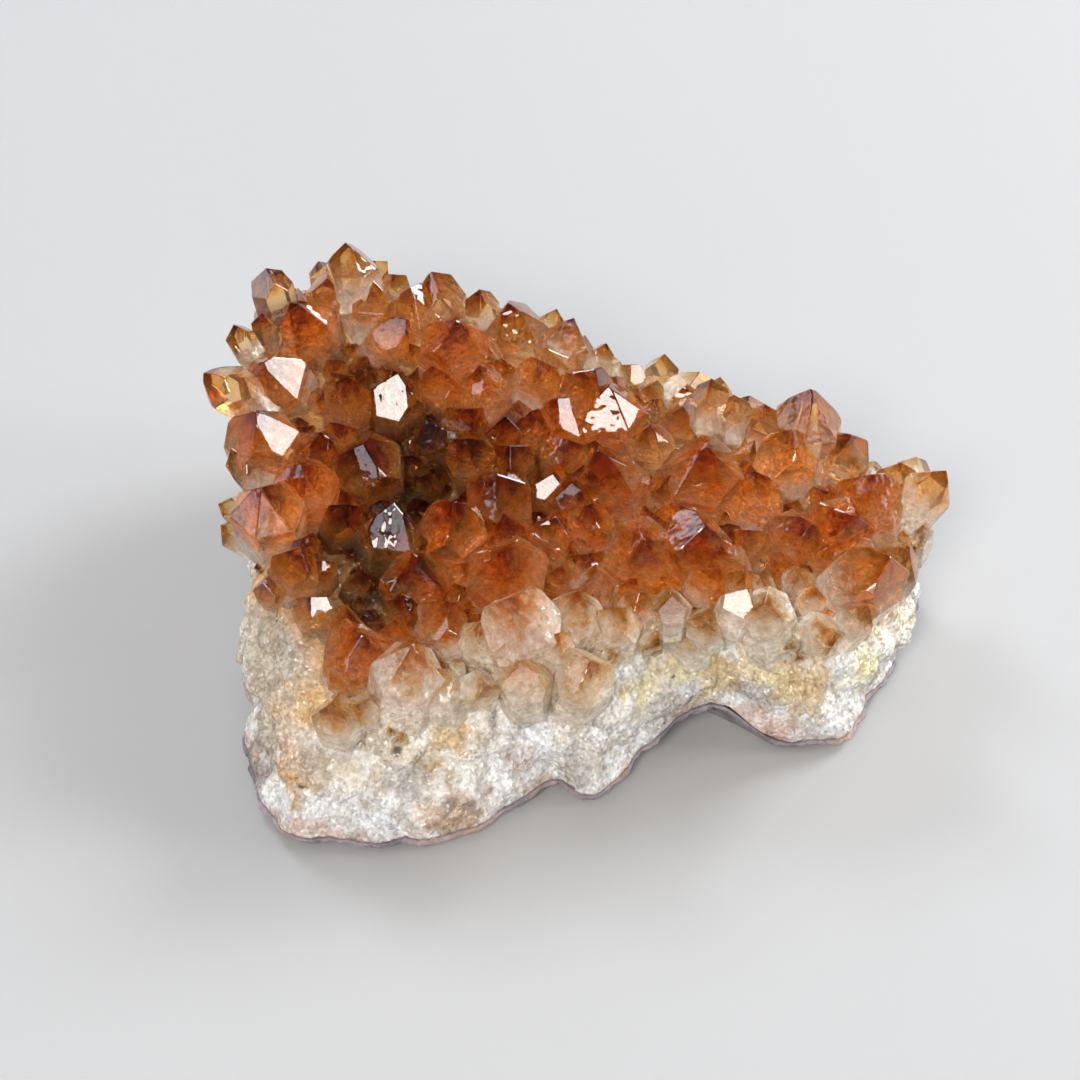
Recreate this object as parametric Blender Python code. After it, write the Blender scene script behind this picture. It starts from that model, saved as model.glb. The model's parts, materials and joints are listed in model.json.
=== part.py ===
"""A citrine cluster: a slab broken from a geode, with amber quartz points on a bed of milky quartz, and the
thin rock rind that the quartz grew on. Metres, +Z up, +X to the right along the slab, +Y away from its broken
front. The origin is on the flat that the slab rests on.
"""

import itertools
import math

import bmesh
import bpy
import numpy as np
from mathutils import Vector
from mathutils.bvhtree import BVHTree

MM = 0.001

# Driving dimensions
BED_MIDDLE = Vector((-2, -3, 21)) * MM  # the middle of the bed that the points stand on
BED_UNDERSIDE = 4.5 * MM  # height of the quartz's underside at the middle
BED_SHARES = (0.5, 1.0)  # rings of the bed, from its middle to its rim
WALL_SHARES = (0.25, 0.5, 0.75, 1.0)  # rings of the broken wall, from the rim to its foot
WALL_BELLY = 1.5 * MM  # how far the wall swells between rim and foot
WALL_LUMP = 9 * MM  # size of the lumps on the wall
LUMP_HEIGHT = 4.2 * MM
LUMP_FALL = 1.6  # how fast a lump falls off towards the creases round it
LARGE_LUMPS = 0.7  # their share of the relief, the rest being lumps half their size
LUMP_MEAN = 0.4  # taken off, so that lumps don't make the wall thicker on the whole
FOOT_CALM = 0.5  # the share of the relief that fades out towards the foot
GAP = 0.3 * MM  # between the quartz and the rind
RIND_SHOWS = 1.5 * MM  # height of the rind's broken edge
RIND_RAGGED = 0.5  # how much that height varies
RIND_BULGE = 0.3  # how far the rind stands out below the quartz, in heights of its edge
RIND_TUCK = 0.6  # how far its heel goes in below that, in the same heights
RIND_CLEAR = 0.4 * MM  # least height of its heel above what the slab rests on
REST_SHARE = 0.8  # the flat that it rests on, of its outline

# Quartz points
FACE_SLOPE = math.radians(51.8)  # between a point's axis and the normal of its end faces, as on all quartz
POINT_LENGTH = 1.3  # a point's length above the bed, in widths
POINT_SWELL = 1.1  # the eye sees less than a point's full width between its neighbours
LEAST_SLANT = 1.05  # a point is at least this much longer than the eye sees it
ROOT_LENGTH = 0.55  # how far it goes into the bed, in widths
ROOT_SINK = 0.4  # how far below the bed its axis starts, in widths
ROOT_STARTS = 1.36  # from here on its root narrows, in widths from the tip
ROOT_TAPER = math.radians(33)  # between a side of the root and the axis
SIDE_REACH = (0.86, 1.06)  # how far its sides lie from its axis, in half widths
LARGE_END = 0.04  # how much its large end faces differ, in widths
LESSER_END = (0.02, 0.16)  # how far out its lesser end faces lie, in widths
SMALL_POINT = 7.2 * MM  # a point narrower than this ends in three faces only
NO_FACE = 9.0  # so far out, in widths, that a plane cuts nothing
MERGE = 0.001 * MM  # corners closer than this are one
PARALLEL = 1e-6  # three unit normals that span less than this have no meeting point
ROUND_OFF = 1e-9  # a corner may lie this far outside a plane, in metres
FLAT = math.radians(0.5)  # triangles that differ by less than this are one face

# The slab's edge, rib by rib, clockwise from the right end as seen from above, in millimetres:
# x, y and height of the foot of the broken wall, then of the bed's rim above it.
RIBS = (
    (52, 0, 4, 50, 2, 18),
    (51, -9, 3, 48, -6, 18),
    (47, -18, 3, 44, -13, 19),
    (42, -26, 2.5, 40, -20, 20),
    (37, -31, 2.5, 35, -25, 21),
    (29, -31, 3, 27, -26, 22),
    (21, -28, 7, 20, -25, 23),
    (14, -30, 6.5, 12, -26, 23),
    (8, -36, 4, 5, -29, 23),
    (1, -41, 2.5, -1, -33, 22),
    (-5, -39, 3, -8, -33, 22),
    (-14, -46, 2.5, -17, -36, 21),
    (-25, -50, 2.5, -26, -39, 20),
    (-36, -49, 2.5, -34, -39, 19),
    (-44, -47, 2.5, -40, -36, 19),
    (-49, -36, 3, -44, -27, 22),
    (-51, -25, 5, -46, -15, 24),
    (-49, -11, 5, -48, -2, 25),
    (-47, 4, 4, -49, 12, 26),
    (-47, 18, 3.5, -49, 26, 29),
    (-42, 30, 3, -43, 36, 32),
    (-32, 35, 3, -33, 38, 33),
    (-20, 31, 3, -22, 34, 31),
    (-8, 26, 3, -9, 28, 29),
    (4, 27, 2.5, 2, 27, 24),
    (15, 31, 2.5, 12, 28, 20),
    (23, 26, 3, 20, 24, 20),
    (30, 18, 3.5, 28, 17, 20),
    (38, 11, 3.5, 37, 10, 23),
    (46, 7, 4, 44, 6, 21),
)

# Where the photograph was taken from. The big points are placed by the pixels at which it shows them.
EYE_ELEVATION = math.radians(47)
EYE_DISTANCE = 420 * MM
FRAME_MIDDLE = 540  # pixels, of a 1080 x 1080 frame
PIXELS_PER_MM = 6.5
AIM = Vector((-6.2, -4.2, 18)) * MM  # what the middle of the frame shows

# Each big point by tip x, tip y, foot x, foot y and width, in pixels of that frame, from the back to the front.
BACK_POINTS = (
    (346, 240, 356, 272, 48), (266, 266, 295, 300, 38), (328, 277, 328, 312, 40), (372, 278, 366, 330, 46),
    (391, 273, 400, 295, 26), (432, 270, 448, 292, 50), (411, 287, 440, 325, 50), (456, 320, 452, 372, 64),
    (507, 302, 525, 362, 60), (574, 319, 575, 350, 45), (565, 338, 565, 362, 40), (503, 358, 512, 378, 28),
    (545, 361, 535, 395, 42), (440, 360, 450, 412, 46), (480, 360, 492, 420, 48), (596, 369, 580, 420, 60),
    (605, 386, 620, 445, 62), (264, 362, 292, 388, 58), (202, 371, 236, 376, 44), (222, 375, 250, 386, 42),
    (233, 324, 252, 345, 26), (262, 312, 282, 326, 26), (288, 300, 322, 350, 58), (272, 322, 285, 345, 26),
    (408, 318, 375, 350, 44), (607, 343, 612, 362, 22), (556, 309, 545, 325, 22), (478, 290, 478, 312, 30),
    (630, 364, 636, 385, 26), (650, 386, 655, 402, 26), (712, 378, 700, 398, 36), (735, 394, 728, 415, 32),
    (765, 404, 758, 424, 38), (812, 390, 810, 432, 62), (852, 436, 838, 475, 44), (900, 461, 905, 490, 42),
)
MIDDLE_POINTS = (
    (350, 376, 345, 425, 46), (398, 372, 395, 425, 52), (252, 408, 278, 465, 66), (232, 448, 238, 495, 36),
    (322, 434, 318, 470, 50), (362, 444, 378, 485, 66), (300, 463, 315, 505, 56), (263, 484, 278, 530, 62),
    (425, 420, 440, 460, 42), (556, 400, 575, 440, 48), (505, 415, 510, 448, 40), (530, 412, 538, 448, 36),
    (568, 438, 562, 470, 40), (466, 438, 476, 478, 46), (510, 447, 520, 475, 36), (500, 474, 500, 520, 64),
    (552, 473, 545, 508, 34), (428, 474, 430, 500, 26), (600, 450, 622, 505, 62), (570, 482, 572, 512, 44),
    (650, 424, 652, 462, 46), (682, 408, 682, 435, 42), (715, 400, 710, 432, 34), (762, 424, 735, 455, 50),
    (706, 446, 700, 498, 66), (674, 472, 672, 500, 40), (790, 428, 785, 485, 56), (754, 472, 758, 530, 46),
    (868, 474, 876, 525, 60), (945, 472, 932, 512, 44), (858, 520, 820, 525, 60), (812, 522, 780, 545, 52),
    (350, 505, 335, 540, 38), (395, 500, 388, 570, 62), (455, 504, 455, 552, 58), (505, 519, 508, 548, 42),
    (556, 516, 545, 552, 40), (590, 506, 588, 545, 44), (641, 540, 641, 554, 64), (706, 528, 680, 556, 64),
)
FRONT_POINTS = (
    (712, 543, 735, 580, 44), (742, 530, 758, 556, 34), (830, 546, 815, 568, 28), (803, 566, 795, 595, 30),
    (893, 556, 858, 612, 68), (862, 548, 845, 590, 48), (765, 602, 772, 632, 44), (596, 572, 590, 605, 40),
    (560, 566, 570, 592, 38), (505, 549, 510, 592, 70), (512, 596, 530, 640, 66), (580, 592, 572, 635, 50),
    (420, 563, 412, 595, 58), (463, 556, 460, 580, 26), (300, 546, 288, 590, 42), (402, 594, 412, 625, 40),
    (448, 603, 428, 635, 46), (362, 632, 350, 668, 56), (382, 642, 375, 676, 38), (345, 664, 338, 690, 30),
    (412, 647, 400, 712, 60), (434, 668, 445, 715, 44), (447, 630, 450, 655, 28), (480, 620, 482, 660, 38),
    (510, 638, 512, 662, 34), (558, 634, 555, 662, 34), (590, 660, 572, 702, 54), (520, 664, 525, 706, 48),
    (640, 592, 636, 616, 34), (672, 596, 670, 620, 34), (218, 503, 242, 520, 26), (220, 524, 250, 548, 32),
    (262, 584, 278, 594, 26), (310, 596, 318, 626, 32), (322, 560, 325, 585, 26), (763, 604, 766, 655, 46),
    (905, 540, 908, 585, 36), (690, 610, 694, 660, 46), (462, 586, 458, 602, 22), (722, 566, 700, 596, 40),
)

# Points on the walls that the photograph doesn't show, and small ones on bare places of the bed
TRIES = 4000
HIDDEN_POINTS = 16
HIDDEN_BEHIND = 8 * MM  # they stand at a larger y than this
HIDDEN_WIDTHS = (4.5 * MM, 9 * MM)
HIDDEN_SPACING = 0.4  # least distance between two feet, in the sum of their widths
HIDDEN_LENGTH = 0.8 * POINT_LENGTH
HIDDEN_SINK = 0.9  # how far inside the wall their axes start, in widths
OUTWARD = (0.6, 1.1)  # their tips lie outward from their feet by this, against this much upward
UPWARD = 0.75
SIGHT_SHARE = 0.99  # a line of sight stops just short of the tip that it goes to
FILL_POINTS = 18
FILL_WIDTHS = (3.6 * MM, 5.5 * MM)
FILL_SPACING = (0.52, 0.36)  # least distance from an earlier foot, in that point's width and in its own
FILL_REACH = ((-46, 50), (-38, 36))  # where they are looked for, along X and Y, in mm
FILL_ABOVE = 60  # height from which they are looked for, in mm
BED_LEVEL = 0.8  # the bed ends where its normal points up by less than this
LEAN = 0.2  # how much the directions of all these differ


def smooth_loop(points, steps):
    """Points on a closed Catmull-Rom curve: between two corners the curve is a cubic whose slope at each corner
    is half the line from the corner before it to the corner after it."""
    corners = np.asarray(points, float)
    before, after = np.roll(corners, 1, 0), np.roll(corners, -1, 0)
    beyond = np.roll(corners, -2, 0)
    t = (np.arange(steps) / steps)[None, :, None]
    p0, p1, p2, p3 = (p[:, None, :] for p in (before, corners, after, beyond))
    curve = 2 * p1 + (p2 - p0) * t + (2 * p0 - 5 * p1 + 4 * p2 - p3) * t**2
    curve = curve + (3 * p1 - p0 - 3 * p2 + p3) * t**3
    return (curve / 2).reshape(-1, corners.shape[1])


def cell_random(cells, seed):
    """Three even random numbers for each cube of space: its three whole numbers are mixed by multiplying with
    primes, and their high bits are folded down."""
    mixed = (cells[..., 0] * 73856093 ^ cells[..., 1] * 19349663 ^ cells[..., 2] * 83492791 ^ seed * 7919)
    mixed = mixed & 0xFFFFFFFF
    numbers = []
    for _ in range(3):
        mixed = (mixed ^ mixed >> 15) * 0x2C1B3C6D & 0xFFFFFFFF
        mixed = (mixed ^ mixed >> 12) * 0x297A2D39 & 0xFFFFFFFF
        mixed = mixed ^ mixed >> 15
        numbers.append(mixed / 2**32)
    return np.stack(numbers, -1)


def lumps(points, size, seed):
    """Rounded lumps of this size, 1 on their tops and about 0 in the creases between them: they fall off with
    the distance to the nearest of many seeds, one in each cube of space."""
    scaled = np.asarray(points) / size
    home = np.floor(scaled).astype(np.int64)
    near = np.full(len(scaled), np.inf)
    for step in np.ndindex(3, 3, 3):
        cell = home + np.array(step) - 1
        away = scaled - cell - cell_random(cell, seed)
        near = np.minimum(near, (away**2).sum(1))
    return 1 - near * LUMP_FALL


def closed_mesh(name, rings, first, last):
    """A closed mesh from rings of points, each joined to the next, and closed by a point at either end."""
    count = len(rings[0])
    points = [tuple(first)] + [tuple(p) for ring in rings for p in ring] + [tuple(last)]
    faces = []
    for i in range(count):
        j = (i + 1) % count
        faces.append((0, 1 + j, 1 + i))
        for k in range(len(rings) - 1):
            a, b = 1 + k * count, 1 + (k + 1) * count
            faces.append((a + i, a + j, b + j, b + i))
        end = 1 + (len(rings) - 1) * count
        faces.append((end + i, end + j, len(points) - 1))
    mesh = bpy.data.meshes.new(name)
    mesh.from_pydata(points, [], faces)
    work = bmesh.new()
    work.from_mesh(mesh)
    bmesh.ops.recalc_face_normals(work, faces=work.faces)
    work.to_mesh(mesh)
    work.free()
    return mesh


def outward_from_middle(ring):
    """Level unit vectors from the upright axis to each point of a ring."""
    outward = np.zeros_like(ring)
    outward[:, :2] = ring[:, :2] / np.linalg.norm(ring[:, :2], axis=1)[:, None]
    return outward


def wall_relief(ring):
    """How far the lumps push each point of the wall out, as a share of their height."""
    small = lumps(ring, WALL_LUMP / 2, 5)
    return lumps(ring, WALL_LUMP, 1) * LARGE_LUMPS + small * (1 - LARGE_LUMPS) - LUMP_MEAN


def quartz_rings():
    """Rings of the milky quartz: out over the bed, a shallow dish whose height changes with the square of the
    distance from its middle, and down the broken wall, which swells and is lumpy."""
    edge = smooth_loop(RIBS, steps=3) * MM
    foot, rim = edge[:, :3], edge[:, 3:]
    middle = np.array(BED_MIDDLE)
    rings = []
    for share in BED_SHARES:
        ring = middle + (rim - middle) * share
        ring[:, 2] = middle[2] + (rim[:, 2] - middle[2]) * share**2
        rings.append(ring)
    outward = outward_from_middle(foot)
    for share in WALL_SHARES:
        ring = rim + (foot - rim) * share
        relief = LUMP_HEIGHT * wall_relief(ring) * (1 - FOOT_CALM * share**4)
        swell = WALL_BELLY * math.sin(math.pi * share) + relief
        rings.append(ring + outward * swell[:, None])
    return rings


def rind_rings(quartz):
    """Rings of the rind: its top lies just under the quartz, its broken edge shows all round, and it is flat
    where it rests."""
    drop = np.array((0, 0, GAP))
    lip = quartz[-1] - drop
    outward = outward_from_middle(lip)
    shows = RIND_SHOWS * (1 + RIND_RAGGED * (lumps(lip, WALL_LUMP / 2, 9)[:, None] - 0.5))
    edge = lip + outward * RIND_BULGE * shows
    edge[:, 2] -= shows[:, 0] / 2
    heel = lip - outward * RIND_TUCK * shows
    heel[:, 2] = np.maximum(lip[:, 2] - shows[:, 0], RIND_CLEAR)
    rest = lip * REST_SHARE
    rest[:, 2] = 0
    return [lip, edge, heel, rest]


def sight_line(across, down):
    """The direction in which the eye sees a pixel of the frame."""
    ahead = Vector((0, math.cos(EYE_ELEVATION), -math.sin(EYE_ELEVATION)))
    up = Vector((0, math.sin(EYE_ELEVATION), math.cos(EYE_ELEVATION)))
    focal = PIXELS_PER_MM * EYE_DISTANCE / MM
    line = ahead * focal + Vector((1, 0, 0)) * (across - FRAME_MIDDLE) - up * (down - FRAME_MIDDLE)
    return line.normalized()


def eye():
    """Where the photograph was taken from."""
    back = Vector((0, -math.cos(EYE_ELEVATION), math.sin(EYE_ELEVATION)))
    return AIM + back * EYE_DISTANCE


def place_seen(bed, point):
    """Tip, direction and width of a point. Its foot is where the eye meets the bed, and its tip is as far from
    the foot as the point is long, on the line to the tip's pixel, on the near side."""
    tip_x, tip_y, foot_x, foot_y, width = point
    width = width / PIXELS_PER_MM * MM
    foot, normal, _, _ = bed.ray_cast(eye(), sight_line(foot_x, foot_y))
    if foot is None:
        foot, normal, _, _ = bed.find_nearest(eye() + sight_line(foot_x, foot_y) * EYE_DISTANCE)
    line = sight_line(tip_x, tip_y)
    nearest = (foot - eye()).dot(line)
    miss = (eye() + line * nearest - foot).length
    length = max(POINT_LENGTH * width, miss * LEAST_SLANT)
    tip = eye() + line * (nearest - math.sqrt(length**2 - miss**2))
    root = foot - normal * ROOT_SINK * width
    return tip, (tip - root).normalized(), width


def place_hidden(rings, bed, chance, taken):
    """Points that lean out from the walls where the eye can't see them, each clear of the ones before it.
    Their axes start inside the wall, so that it holds their roots."""
    walls = np.array(rings[2:4])
    found = []
    for _ in range(TRIES):
        if len(found) == HIDDEN_POINTS:
            break
        foot = Vector(walls[chance.integers(len(walls)), chance.integers(walls.shape[1])])
        width = chance.uniform(*HIDDEN_WIDTHS)
        if foot.y < HIDDEN_BEHIND:
            continue
        if any((foot - other).length < HIDDEN_SPACING * (width + wide) for other, wide in taken):
            continue
        away = Vector((foot.x, foot.y, 0)).normalized()
        lean = Vector(chance.normal(0, LEAN, 3))
        towards_tip = (away * chance.uniform(*OUTWARD) + Vector((0, 0, UPWARD)) + lean).normalized()
        tip = foot + towards_tip * HIDDEN_LENGTH * width
        line = tip - eye()
        if bed.ray_cast(eye(), line.normalized(), line.length * SIGHT_SHARE)[0] is None:
            continue
        root = foot - away * HIDDEN_SINK * width
        taken.append((foot, width))
        found.append((tip, (tip - root).normalized(), width))
    return found


def place_fill(bed, chance, taken):
    """Small points straight out of the bed wherever the big ones leave it bare."""
    found = []
    theirs, own = FILL_SPACING
    for _ in range(TRIES):
        if len(found) == FILL_POINTS:
            break
        above = Vector((chance.uniform(*FILL_REACH[0]), chance.uniform(*FILL_REACH[1]), FILL_ABOVE)) * MM
        foot, normal, _, _ = bed.ray_cast(above, Vector((0, 0, -1)))
        width = chance.uniform(*FILL_WIDTHS)
        if foot is None or normal.z < BED_LEVEL:
            continue
        if any((foot - other).length < theirs * wide + own * width for other, wide in taken):
            continue
        direction = (normal + Vector(chance.normal(0, LEAN, 3))).normalized()
        taken.append((foot, width))
        found.append((foot + direction * POINT_LENGTH * width, direction, width))
    return found


def crystal_corners(width, length, spin, chance):
    """Corners of a quartz point with its tip at the origin, pointing up +Z: six upright sides, six sloping
    end faces, three of them larger, and a root that narrows, because the points crowd each other where they
    start to grow. The solid is what lies on the inner side of every face's plane, so its corners are those
    meeting points of three planes that lie outside none."""
    turn = spin + np.arange(6) * math.pi / 3
    sides = np.stack([np.cos(turn), np.sin(turn), np.zeros(6)], 1)
    slope_out, slope_up = math.sin(FACE_SLOPE), math.cos(FACE_SLOPE)
    ends = np.stack([np.cos(turn) * slope_out, np.sin(turn) * slope_out, np.full(6, slope_up)], 1)
    root_out, root_down = math.cos(ROOT_TAPER), math.sin(ROOT_TAPER)
    roots = np.stack([np.cos(turn) * root_out, np.sin(turn) * root_out, np.full(6, -root_down)], 1)
    large = chance.uniform(-LARGE_END, LARGE_END, 6)
    lesser = chance.uniform(*LESSER_END, 6) if width > SMALL_POINT else np.full(6, NO_FACE)
    side_reach = width / 2 * chance.uniform(*SIDE_REACH, 6)
    end_reach = width * np.where(np.arange(6) % 2, lesser, large)
    root_reach = side_reach * root_out + ROOT_STARTS * width * root_down
    normals = np.concatenate([sides, ends, roots, [[0, 0, -1]]])
    reach = np.concatenate([side_reach, end_reach, root_reach, [length]])
    trios = np.array(list(itertools.combinations(range(len(reach)), 3)))
    planes = normals[trios]
    crossing = np.abs(np.linalg.det(planes)) > PARALLEL
    corners = np.linalg.solve(planes[crossing], reach[trios[crossing]][..., None])[..., 0]
    return corners[(corners @ normals.T <= reach + ROUND_OFF).all(1)]


def crystal_object(name, tip, direction, width, chance):
    """One quartz point as a closed mesh, with its tip where it is asked for."""
    length = (POINT_LENGTH + ROOT_LENGTH) * width
    corners = crystal_corners(width, length, chance.uniform(0, math.pi / 3), chance)
    work = bmesh.new()
    for corner in corners:
        work.verts.new(corner)
    bmesh.ops.remove_doubles(work, verts=work.verts, dist=MERGE)
    bmesh.ops.convex_hull(work, input=work.verts)
    bmesh.ops.dissolve_limit(work, angle_limit=FLAT, verts=work.verts, edges=work.edges)
    bmesh.ops.recalc_face_normals(work, faces=work.faces)
    turn = direction.to_track_quat("Z", "Y").to_matrix().to_4x4()
    bmesh.ops.transform(work, matrix=turn, verts=work.verts)
    bmesh.ops.translate(work, vec=tip, verts=work.verts)
    mesh = bpy.data.meshes.new(name)
    work.to_mesh(mesh)
    work.free()
    return bpy.data.objects.new(name, mesh)


def shells(work):
    """The separate shells of a mesh, each as a list of faces with the volume that it encloses."""
    left = set(work.faces)
    found = []
    while left:
        shell = [left.pop()]
        for face in shell:
            for edge in face.edges:
                for other in edge.link_faces:
                    if other in left:
                        left.discard(other)
                        shell.append(other)
        volume = 0
        for face in shell:
            first = face.verts[0].co
            for loop in face.loops:
                volume += first.dot(loop.vert.co.cross(loop.link_loop_next.vert.co)) / 6
        found.append((volume, shell))
    return sorted(found, key=lambda entry: entry[0])


def fuse(body, points):
    """Joins the points to the body, then closes the small pockets that they leave sealed between them."""
    grow = body.modifiers.new("grown_together", "BOOLEAN")
    grow.operation = "UNION"
    grow.operand_type = "COLLECTION"
    grow.collection = points
    grow.solver = "EXACT"
    whole = bpy.data.meshes.new_from_object(body.evaluated_get(bpy.context.evaluated_depsgraph_get()))
    body.modifiers.clear()
    work = bmesh.new()
    work.from_mesh(whole)
    bmesh.ops.remove_doubles(work, verts=work.verts, dist=MERGE)
    pockets = [face for _, shell in shells(work)[:-1] for face in shell]
    bmesh.ops.delete(work, geom=pockets, context="FACES")
    work.to_mesh(whole)
    work.free()
    whole.name = body.name
    body.data = whole


def finish(body, colour, roughness, see_through=0.0):
    """Gives a body its own material."""
    material = bpy.data.materials.new(body.name)
    material.use_nodes = True
    shader = material.node_tree.nodes["Principled BSDF"]
    shader.inputs["Base Color"].default_value = (*colour, 1)
    shader.inputs["Roughness"].default_value = roughness
    shader.inputs["Metallic"].default_value = 0
    shader.inputs["Transmission Weight"].default_value = see_through
    body.data.materials.clear()
    body.data.materials.append(material)


def main():
    for old in list(bpy.data.objects):
        bpy.data.objects.remove(old)
    scene = bpy.context.scene.collection
    rings = quartz_rings()
    under = Vector((0, 0, BED_UNDERSIDE))
    bed_mesh = closed_mesh("citrine_crystals", rings, BED_MIDDLE, under)
    bed = BVHTree.FromPolygons([v.co for v in bed_mesh.vertices], [p.vertices[:] for p in bed_mesh.polygons])

    chance = np.random.default_rng(7)
    placed = [place_seen(bed, point) for point in BACK_POINTS + MIDDLE_POINTS + FRONT_POINTS]
    taken = [(tip - direction * POINT_LENGTH * width, width) for tip, direction, width in placed]
    placed += place_hidden(rings, bed, chance, taken)
    placed += place_fill(bed, chance, taken)
    points = bpy.data.collections.new("points")
    scene.children.link(points)
    for number, (tip, direction, width) in enumerate(placed):
        one = crystal_object(f"point_{number:03d}", tip, direction, width * POINT_SWELL, chance)
        one.hide_render = True
        one.display_type = "WIRE"
        points.objects.link(one)

    crystals = bpy.data.objects.new("citrine_crystals", bed_mesh)
    scene.objects.link(crystals)
    fuse(crystals, points)
    finish(crystals, (0.62, 0.27, 0.08), 0.12, see_through=0.6)

    rind_mesh = closed_mesh("rock_rind", rind_rings(rings), under - Vector((0, 0, GAP)), (0, 0, 0))
    rind = bpy.data.objects.new("rock_rind", rind_mesh)
    scene.objects.link(rind)
    finish(rind, (0.36, 0.29, 0.29), 0.85)


main()
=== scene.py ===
# %% [markdown]
# # A citrine cluster
# This is a slab broken from a geode. Quartz grew on the rock wall of a hollow: first a milky, sugary layer, then
# clear points packed side by side, which heat turned amber. The slab lies on its thin rind of rock.
# The solids of the frame give every size and place. This script gives them their looks. It works in metres.

import json
import math

import bmesh
import bpy
import numpy as np
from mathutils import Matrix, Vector
from mathutils.bvhtree import BVHTree

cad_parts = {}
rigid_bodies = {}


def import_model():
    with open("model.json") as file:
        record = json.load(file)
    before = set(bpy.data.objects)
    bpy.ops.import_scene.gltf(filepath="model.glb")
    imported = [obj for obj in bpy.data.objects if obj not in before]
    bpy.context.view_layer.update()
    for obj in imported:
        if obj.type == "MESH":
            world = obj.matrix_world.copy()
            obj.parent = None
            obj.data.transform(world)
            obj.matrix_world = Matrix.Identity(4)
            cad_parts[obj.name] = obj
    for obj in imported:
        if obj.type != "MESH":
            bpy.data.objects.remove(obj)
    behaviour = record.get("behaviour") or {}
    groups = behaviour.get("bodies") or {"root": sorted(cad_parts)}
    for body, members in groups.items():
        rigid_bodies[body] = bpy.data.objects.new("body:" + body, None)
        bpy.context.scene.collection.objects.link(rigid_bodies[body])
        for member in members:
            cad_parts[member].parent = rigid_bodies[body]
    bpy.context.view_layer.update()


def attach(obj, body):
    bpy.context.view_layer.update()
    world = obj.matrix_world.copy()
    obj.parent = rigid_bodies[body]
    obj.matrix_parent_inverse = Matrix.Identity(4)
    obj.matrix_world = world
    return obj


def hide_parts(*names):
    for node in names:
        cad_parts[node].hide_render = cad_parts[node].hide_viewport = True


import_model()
MM = 0.001

# %% [markdown]
# ## The camera
# The points are placed by where the photograph shows them, so the camera comes first: everything that is read off
# the photograph goes through it. It looks down at 47 degrees from a hand's reach, with a long lens.

# %% Set up the camera
EYE_ELEVATION = math.radians(47)
EYE_DISTANCE = 420 * MM
FRAME_SIZE = 1080  # pixels
PIXELS_PER_MM = 6.5  # at the aim
AIM = Vector((-6.2, -4.2, 18)) * MM
SENSOR = 36  # mm
FOCAL = PIXELS_PER_MM * EYE_DISTANCE / MM  # pixels
EYE = AIM + Vector((0, -math.cos(EYE_ELEVATION), math.sin(EYE_ELEVATION))) * EYE_DISTANCE


def sight_line(across, down):
    """The direction in which the eye sees a pixel of the frame."""
    ahead = Vector((0, math.cos(EYE_ELEVATION), -math.sin(EYE_ELEVATION)))
    up = Vector((0, math.sin(EYE_ELEVATION), math.cos(EYE_ELEVATION)))
    middle = FRAME_SIZE / 2
    return (ahead * FOCAL + Vector((across - middle, 0, 0)) - up * (down - middle)).normalized()


lens = bpy.data.cameras.new("camera")
lens.lens = SENSOR * FOCAL / FRAME_SIZE
lens.sensor_width = SENSOR
lens.clip_start = 10 * MM
camera = bpy.data.objects.new("camera", lens)
camera.location = EYE
camera.rotation_euler = (math.pi / 2 - EYE_ELEVATION, 0, 0)
bpy.context.scene.collection.objects.link(camera)
bpy.context.scene.camera = camera
print("lens", round(lens.lens, 1), "mm")

# %% [markdown]
# ## Random numbers and lumps
# Broken quartz is lumpy at every scale. Worley noise suits it: seeds are scattered in space, one in each small cube,
# and the distance to the nearest seed gives rounded lumps with sharp creases between them. Here it is worked out for
# all points at once.

# %% Noise on whole arrays
def cell_random(cells, seed):
    """Four even random numbers for each cube: its three whole numbers are mixed by multiplying with primes, and
    their high bits are folded down."""
    mixed = (cells[..., 0] * 73856093 ^ cells[..., 1] * 19349663 ^ cells[..., 2] * 83492791 ^ seed * 7919)
    mixed = mixed & 0xFFFFFFFF
    numbers = []
    for _ in range(4):
        mixed = (mixed ^ mixed >> 15) * 0x2C1B3C6D & 0xFFFFFFFF
        mixed = (mixed ^ mixed >> 12) * 0x297A2D39 & 0xFFFFFFFF
        mixed = mixed ^ mixed >> 15
        numbers.append(mixed / 2**32)
    return np.stack(numbers, -1)


def worley(points, size, seed):
    """Distance to the nearest seed, distance to the next one, the offset from the nearest seed and its own random
    numbers, all in lumps of this size."""
    scaled = np.asarray(points) / size
    home = np.floor(scaled).astype(np.int64)
    near = np.full(len(scaled), 9.0)
    second = np.full(len(scaled), 9.0)
    offset = np.zeros_like(scaled)
    own = np.zeros((len(scaled), 4))
    for step in np.ndindex(3, 3, 3):
        cell = home + np.array(step) - 1
        numbers = cell_random(cell, seed)
        away = scaled - cell - numbers[:, :3]
        distance = np.sqrt((away**2).sum(1))
        closer = distance < near
        second = np.where(closer, near, np.minimum(second, distance))
        near = np.where(closer, distance, near)
        offset = np.where(closer[:, None], away, offset)
        own = np.where(closer[:, None], numbers, own)
    return near, second, offset, own


def smooth_noise(points, size, seed):
    """Smooth noise from 0 to 1: random numbers on the corners of cubes, blended by a curve that is level at both
    ends."""
    scaled = np.asarray(points) / size
    home = np.floor(scaled).astype(np.int64)
    part = scaled - home
    part = part * part * (3 - 2 * part)
    total = np.zeros(len(scaled))
    for step in np.ndindex(2, 2, 2):
        weight = np.prod(np.where(np.array(step), part, 1 - part), 1)
        total += weight * cell_random(home + np.array(step), seed)[:, 0]
    return total


def lumps(points, size, seed):
    """Rounded lumps, 1 on their tops and about 0 in the creases."""
    return 1 - worley(points, size, seed)[0] ** 2 * 1.6


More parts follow.
